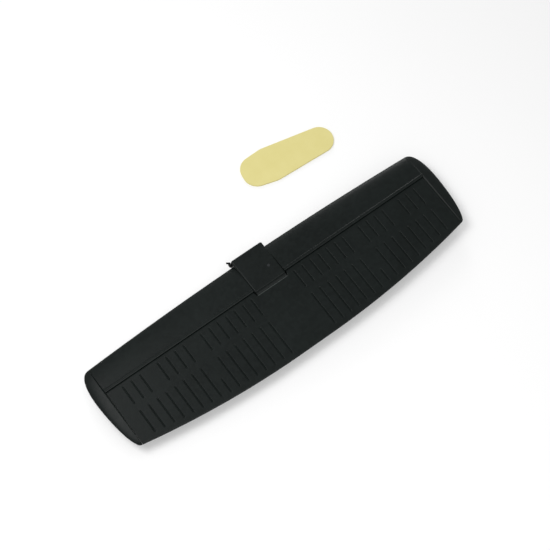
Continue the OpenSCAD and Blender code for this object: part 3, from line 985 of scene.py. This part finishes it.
def notch_bead(y):
    """Height of the low bead along the notch, which starts a little below the skin."""
    past = y - NOTCH_DEPTH
    if past < NOTCH_FRONT:
        return (NOTCH_RISE + NOTCH_FALL) * (1 - math.cos(math.pi * past / NOTCH_FRONT)) / 2 - NOTCH_FALL
    return NOTCH_RISE * (1 + math.cos(math.pi * min(1.0, (past - NOTCH_FRONT) / NOTCH_REAR))) / 2


def skin_half(x, y):
    """Half thickness of the elevator: a straight taper with a rounded trailing edge."""
    late = max(0.0, (y - trailing_edge(x)) / AFT_ROUND + 1)
    wedge = (nose_radius - slope * y) * math.sqrt(1 - (AFT_BLUNT * late) ** 2)
    if abs(x) > root_x + SAME_POINT:
        return wedge
    return wedge + notch_bead(max(y, NOTCH_DEPTH))


print("elevator slope: %.4f" % slope)

# %% [markdown]
# One flat sheet is scored along every line that matters, and each point is then moved to its
# place and its height. Scoring keeps all grooves on one clean grid of four-sided faces, which a
# row of boolean cuts would not.

# %% Upper sheet
GROOVE_LINES = (-0.58, -0.5, -0.36, -0.22, -0.08, 0.08, 0.22, 0.36, 0.5, 0.58)
GROOVE_BRIM = 0.1 * MM
AFT_LINES = (1.0, 0.85, 0.65, 0.45, 0.25, 0.1)
NOTCH_CORNER = 0.8 * MM
NOTCH_FRONT_STEPS = 4
NOTCH_REAR_STEPS = 3
POCKET_ROOM = 0.6 * MM
PINS = ("left_outer_pin", "left_inner_pin", "right_inner_pin", "right_outer_pin")
pockets = []
for pin in PINS:
    pin_low, pin_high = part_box(pin)
    pockets += [pin_low.x - POCKET_ROOM, pin_high.x + POCKET_ROOM]


def score(shape, axis, places):
    """Cut the sheet along straight lines across one axis."""
    normal = Vector((axis == 0, axis == 1, 0))
    for place in places:
        bmesh.ops.bisect_plane(
            shape, geom=all_of(shape), dist=SAME_POINT, plane_co=normal * place, plane_no=normal)


def span_lines():
    """The places along the span where the sheet is scored."""
    lines = [GROOVE_FIRST + GROOVE_PITCH * column + GROOVE_WIDTH * line
             for column in range(GROOVE_COUNT) for line in GROOVE_LINES]
    lines += [root_x / 2, root_x, root_x + NOTCH_CORNER] + [place for place in pockets if place > 0]
    return [0.0] + [side * place for place in lines for side in (-1, 1)]


def chord_lines():
    """The places along the chord where the sheet is scored."""
    lines = [BEND_FIRST, BEND_LAST] + [aft_y - AFT_ROUND * line for line in AFT_LINES]
    for step in range(NOTCH_FRONT_STEPS + 1):
        lines.append(NOTCH_DEPTH + NOTCH_FRONT * step / NOTCH_FRONT_STEPS)
    for step in range(1, NOTCH_REAR_STEPS + 1):
        lines.append(NOTCH_DEPTH + NOTCH_FRONT + NOTCH_REAR * step / NOTCH_REAR_STEPS)
    for first, last in (FRONT_ROW, REAR_ROW, SHORT_ROW):
        lines += [first - GROOVE_BRIM, first, first + GROOVE_WIDTH / 2]
        lines += [last - GROOVE_WIDTH / 2, last, last + GROOVE_BRIM]
    return lines


def upper_sheet(shape):
    """The grooved upper skin, still without its notch."""
    middle = Matrix.Translation((0, aft_y / 2, hinge_z))
    spread = middle @ Matrix.Diagonal((elevator_high.x, aft_y / 2, 1, 1))
    bmesh.ops.create_grid(shape, x_segments=1, y_segments=1, size=1.0, matrix=spread)
    score(shape, 0, span_lines())
    score(shape, 1, chord_lines())
    for vert in shape.verts:
        depth = groove_depth(vert.co.x, vert.co.y)
        vert.co.y = bent_place(vert.co.x, vert.co.y)
        vert.co.z += skin_half(vert.co.x, vert.co.y) - depth
    print("grooved sheet:", len(shape.faces), "faces")


print("score lines:", len(span_lines()) + len(chord_lines()))

# %% [markdown]
# Two openings are cut. The notch behind the saddle has slanting corners and is cut out of the
# sheet while it is still single. The four pockets where the hinges turn are opened in the closed
# nose later, and sunk to a flat back wall.

# %% Notch and hinge pockets
POCKET_REAR = 2.1 * MM
POCKET_MOUTH = 0.707


def past_notch(place):
    """How far a place lies inside the notch, whose corners slant outwards to the front."""
    slant = NOTCH_DEPTH * (root_x + NOTCH_CORNER - abs(place.x)) / NOTCH_CORNER
    return min(NOTCH_DEPTH, slant) - place.y


def face_in_corner(face, side):
    place = face.calc_center_median()
    return root_x < side * place.x < root_x + NOTCH_CORNER and place.y < NOTCH_DEPTH


def cut_notch(shape):
    for side in (-1, 1):
        corner = [face for face in shape.faces if face_in_corner(face, side)]
        parts = list(dict.fromkeys(item for face in corner for item in face.verts[:] + face.edges[:]))
        bmesh.ops.bisect_plane(
            shape, geom=parts + corner, dist=SAME_POINT,
            plane_co=(side * root_x, NOTCH_DEPTH, 0), plane_no=(side * NOTCH_DEPTH, NOTCH_CORNER, 0),
        )
    notch = [face for face in shape.faces if past_notch(face.calc_center_median()) > SAME_POINT]
    bmesh.ops.delete(shape, geom=notch, context="FACES")


def cut_pockets(shape):
    """Open the nose at each hinge, and sink the opening to a flat back wall."""
    gone = []
    for face in shape.faces:
        place = face.calc_center_median()
        if place.y < -nose_radius * POCKET_MOUTH:
            gone += [face for left, right in zip(pockets[::2], pockets[1::2]) if left < place.x < right]
    bmesh.ops.delete(shape, geom=gone, context="FACES")
    ring, points = grow_edges(shape, open_edges(shape))
    scale_points(shape, points, (1, 0, 1), (0, POCKET_REAR, 0))
    fill_holes(shape, ring)


print("hinge pockets:", len(pockets) // 2)

# %% [markdown]
# The sheet becomes a closed body. It is copied and mirrored through the hinge plane, and the two
# skins are joined: by a half turn about the hinge line in front, which is the nose, by a hollow
# round wall along the notch, by a thin wall along the trailing edge, and by flat ends. Last come
# the hinge pockets, and a soft brow along the notch that catches the light.

# %% Elevator body
NOSE_STEPS = 20
NOTCH_STEPS = 12
NOTCH_ROUND = 0.4 * MM
LEVEL_WITHIN = 0.1 * MM


def on_tail(place):
    return abs(place.y - trailing_edge(place.x)) < SAME_LINE


def on_notch(place):
    return abs(past_notch(place)) < SAME_LINE and place.y > -SAME_LINE


def behind_saddle(place):
    return abs(place.x) < root_x + SAME_LINE


def is_upper(place):
    return place.z > hinge_z


def wall_down(shape, edges):
    """Carry edges of the upper skin straight through to the lower one."""
    points = grow_edges(shape, edges)[1]
    scale_points(shape, points, (1, 1, -1), (0, 0, hinge_z))


def turn_about_hinge(shape, edges, angle, steps):
    bmesh.ops.spin(
        shape, geom=edges, cent=(0, 0, hinge_z), axis=(1, 0, 0), dvec=(0, 0, 0),
        angle=angle, steps=steps,
    )


def notch_brow(shape):
    """The level edges along the notch where its wall meets the skins."""
    along = edges_where(shape, lambda place: abs(place.y - NOTCH_DEPTH) < SAME_LINE)
    sharp = [edge for edge in along if edge.is_manifold and edge.calc_face_angle() > SHARP_ANGLE]
    level = [edge for edge in sharp if abs(edge.verts[0].co.z - edge.verts[1].co.z) < LEVEL_WITHIN]
    return [edge for edge in level if behind_saddle(edge.verts[0].co)]


def elevator_shape():
    shape = bmesh.new()
    upper_sheet(shape)
    cut_notch(shape)
    lower = bmesh.ops.duplicate(shape, geom=all_of(shape))
    scale_points(shape, verts_of(lower), (1, 1, -1), (0, 0, hinge_z))
    front = edges_where(shape, lambda place: abs(place.y) < SAME_LINE and is_upper(place))
    turn_about_hinge(shape, front, math.pi, NOSE_STEPS)
    wall_down(shape, edges_where(shape, lambda place: on_tail(place) and is_upper(place)))
    lips = edges_where(shape, lambda place: on_notch(place) and behind_saddle(place) and is_upper(place))
    lip_angle = math.atan2(skin_half(0.0, NOTCH_DEPTH), NOTCH_DEPTH)
    turn_about_hinge(shape, lips, -2 * lip_angle, NOTCH_STEPS)
    slants = edges_where(shape, lambda place: on_notch(place) and abs(place.x) > root_x - SAME_LINE)
    wall_down(shape, [edge for edge in slants if is_upper(edge.verts[0].co)])
    bmesh.ops.remove_doubles(shape, verts=shape.verts, dist=MERGE_WITHIN)
    fill_holes(shape)
    cut_pockets(shape)
    round_edges(shape, notch_brow(shape), NOTCH_ROUND, 3)
    return shape


make_piece("elevator_skin", elevator_shape(), elevator_foam, "elevator", ["elevator"])

# %% [markdown]
# The loose pad is a die-cut sandwich: a thin foam core and a paper liner on each face that
# stands out a little past the foam. It is pressed flat, so a cloth simulation would have nothing
# to do. The outlines are taken from the CAD layers: each copy is merged and its flat faces are
# dissolved into one, and then its rims are rounded, the foam's well, so that it bulges, and the
# liners' only just.

# %% Mounting pad
FLAT_ANGLE = math.radians(1)
FOAM_ROUND = 0.4 * MM
LINER_ROUND = 0.06 * MM


def layer_shape(node, radius, segments):
    shape = bmesh.new()
    shape.from_mesh(frame["nodes"][node].data)
    bmesh.ops.remove_doubles(shape, verts=shape.verts, dist=MERGE_WITHIN)
    bmesh.ops.dissolve_limit(shape, angle_limit=FLAT_ANGLE, verts=shape.verts[:], edges=shape.edges[:])
    rims = [edge for edge in shape.edges if abs(edge.verts[0].co.z - edge.verts[1].co.z) < SAME_LINE]
    round_edges(shape, rims, radius, segments)
    return shape


foam_core = make_piece("pad_foam_core", layer_shape("pad_foam", FOAM_ROUND, 4), pad_core,
                       "mounting_pad", ["pad_foam"])
make_piece("pad_bottom_paper", layer_shape("pad_bottom_liner", LINER_ROUND, 2), liner_paper,
           "mounting_pad", ["pad_bottom_liner"])
make_piece("pad_top_paper", layer_shape("pad_top_liner", LINER_ROUND, 2), liner_paper,
           "pad_liner", ["pad_top_liner"])

# %% [markdown]
# The small hard parts have the right shape already, so their CAD solids stay and only get their
# finish. A Weld modifier joins their loose triangles and a Bevel modifier takes off the razor
# edges that no moulded or drawn part has.

# %% Finish the small hard parts
SOFTEN_ANGLE = math.radians(40)
HARD_PARTS = {
    "post": (grey_nylon, 0.15 * MM),
    "horn": (black_nylon, 0.2 * MM),
    "leaf": (hinge_nylon, 0.08 * MM),
    "pin": (pin_steel, 0.08 * MM),
    "spar": (carbon, 0.1 * MM),
    "joiner": (carbon, 0.1 * MM),
    "stiffener": (carbon, 0.1 * MM),
}


def finish_part(part, material, radius):
    for slot in part.material_slots:
        slot.material = material
    weld = part.modifiers.new("join", "WELD")
    weld.merge_threshold = SAME_POINT
    soften = part.modifiers.new("soften", "BEVEL")
    soften.width = radius
    soften.segments = 2
    soften.limit_method = "ANGLE"
    soften.angle_limit = SOFTEN_ANGLE


for node, part in frame["nodes"].items():
    for ending, (material, radius) in HARD_PARTS.items():
        if node.endswith(ending):
            finish_part(part, material, radius)
            print(node, "finished with", material.name)

# %% [markdown]
# The photograph is a plain studio shot on white, so the part lies on a wide pale ground. A plain
# white sheet would look cut out, so a slow cloud of noise varies it by a shade.

# %% Ground
GROUND_HALF = 4.0
GROUND_CLOUD = 0.4


def ground_finish():
    finish = Finish("white_ground", Specular_IOR_Level=0.1)
    cloud = finish.noise(GROUND_CLOUD)
    return finish.feed(
        Base_Color=finish.blend(cloud, grey(0.93), grey(0.96)),
        Roughness=0.8 + 0.1 * cloud,
    )


ground_shape = bmesh.new()
bmesh.ops.create_grid(ground_shape, x_segments=1, y_segments=1, size=GROUND_HALF)
ground_mesh = bpy.data.meshes.new("ground")
ground_shape.to_mesh(ground_mesh)
ground_shape.free()
ground_mesh.materials.append(ground_finish())
ground = bpy.data.objects.new("ground", ground_mesh)
bpy.context.scene.collection.objects.link(ground)
print("ground %.0f m wide" % (2 * GROUND_HALF))

# %% [markdown]
# Black satin foam shows what it mirrors more than its own colour, so the lamps stand where the
# skin mirrors them. A pale sky lights the part from all round. A low lamp far beyond the leading
# edge, on the right, only catches the slopes that face it, such as the leading edge and the beads.
# A broad lamp high over the left end is mirrored by the left tip and the flats near it. A third,
# very broad one on the camera's side fills the grooves and throws no shadow.

# %% Light
SKY_STRENGTH = 0.44


def lamp(name, place, size, power, shadow=True):
    light = bpy.data.lights.new(name, "AREA")
    light.use_shadow = shadow
    light.size = size
    light.energy = power
    holder = bpy.data.objects.new(name, light)
    bpy.context.scene.collection.objects.link(holder)
    holder.location = place
    holder.visible_camera = False
    holder.rotation_euler = Vector(place).to_track_quat("Z", "Y").to_euler()


world = bpy.data.worlds.new("pale_sky")
world.use_nodes = True
sky = world.node_tree.nodes["Background"]
sky.inputs["Color"].default_value = (1.0, 1.0, 1.0, 1.0)
sky.inputs["Strength"].default_value = SKY_STRENGTH
bpy.context.scene.world = world
lamp("far_lamp", place=(-0.75, -1.25, 0.42), size=0.4, power=4)
lamp("left_lamp", place=(0.37, -0.28, 0.87), size=0.5, power=3.8)
lamp("near_lamp", place=(0.1, 1.2, 1.5), size=1.0, power=15.5, shadow=False)
bpy.context.scene.view_settings.view_transform = "Standard"
print("sky and three lamps placed")

# %% [markdown]
# The camera looks steeply down from behind the trailing edge. Its angles and distance come from
# fitting the wing's outline in the photograph, which is a square picture.

# %% Camera
AZIMUTH = math.radians(143.36)
ELEVATION = math.radians(66.11)
DISTANCE = 1291.89 * MM
AIM = Vector((-8.75 * MM, -4.99 * MM, hinge_z))
LENS = 94.909
SENSOR = 36.0
CLIP_START = 0.01

back = Vector((
    math.sin(AZIMUTH) * math.cos(ELEVATION),
    -math.cos(AZIMUTH) * math.cos(ELEVATION),
    math.sin(ELEVATION),
))
right = Vector((math.cos(AZIMUTH), math.sin(AZIMUTH), 0))
stance = Matrix((right, back.cross(right), back)).transposed().to_4x4()
stance.translation = AIM + back * DISTANCE
camera_data = bpy.data.cameras.new("photo_camera")
camera_data.lens = LENS
camera_data.sensor_width = SENSOR
camera_data.sensor_fit = "HORIZONTAL"
camera_data.clip_start = CLIP_START
camera = bpy.data.objects.new("photo_camera", camera_data)
bpy.context.scene.collection.objects.link(camera)
camera.matrix_world = stance
bpy.context.scene.camera = camera
print("camera at", [round(value, 3) for value in stance.translation])
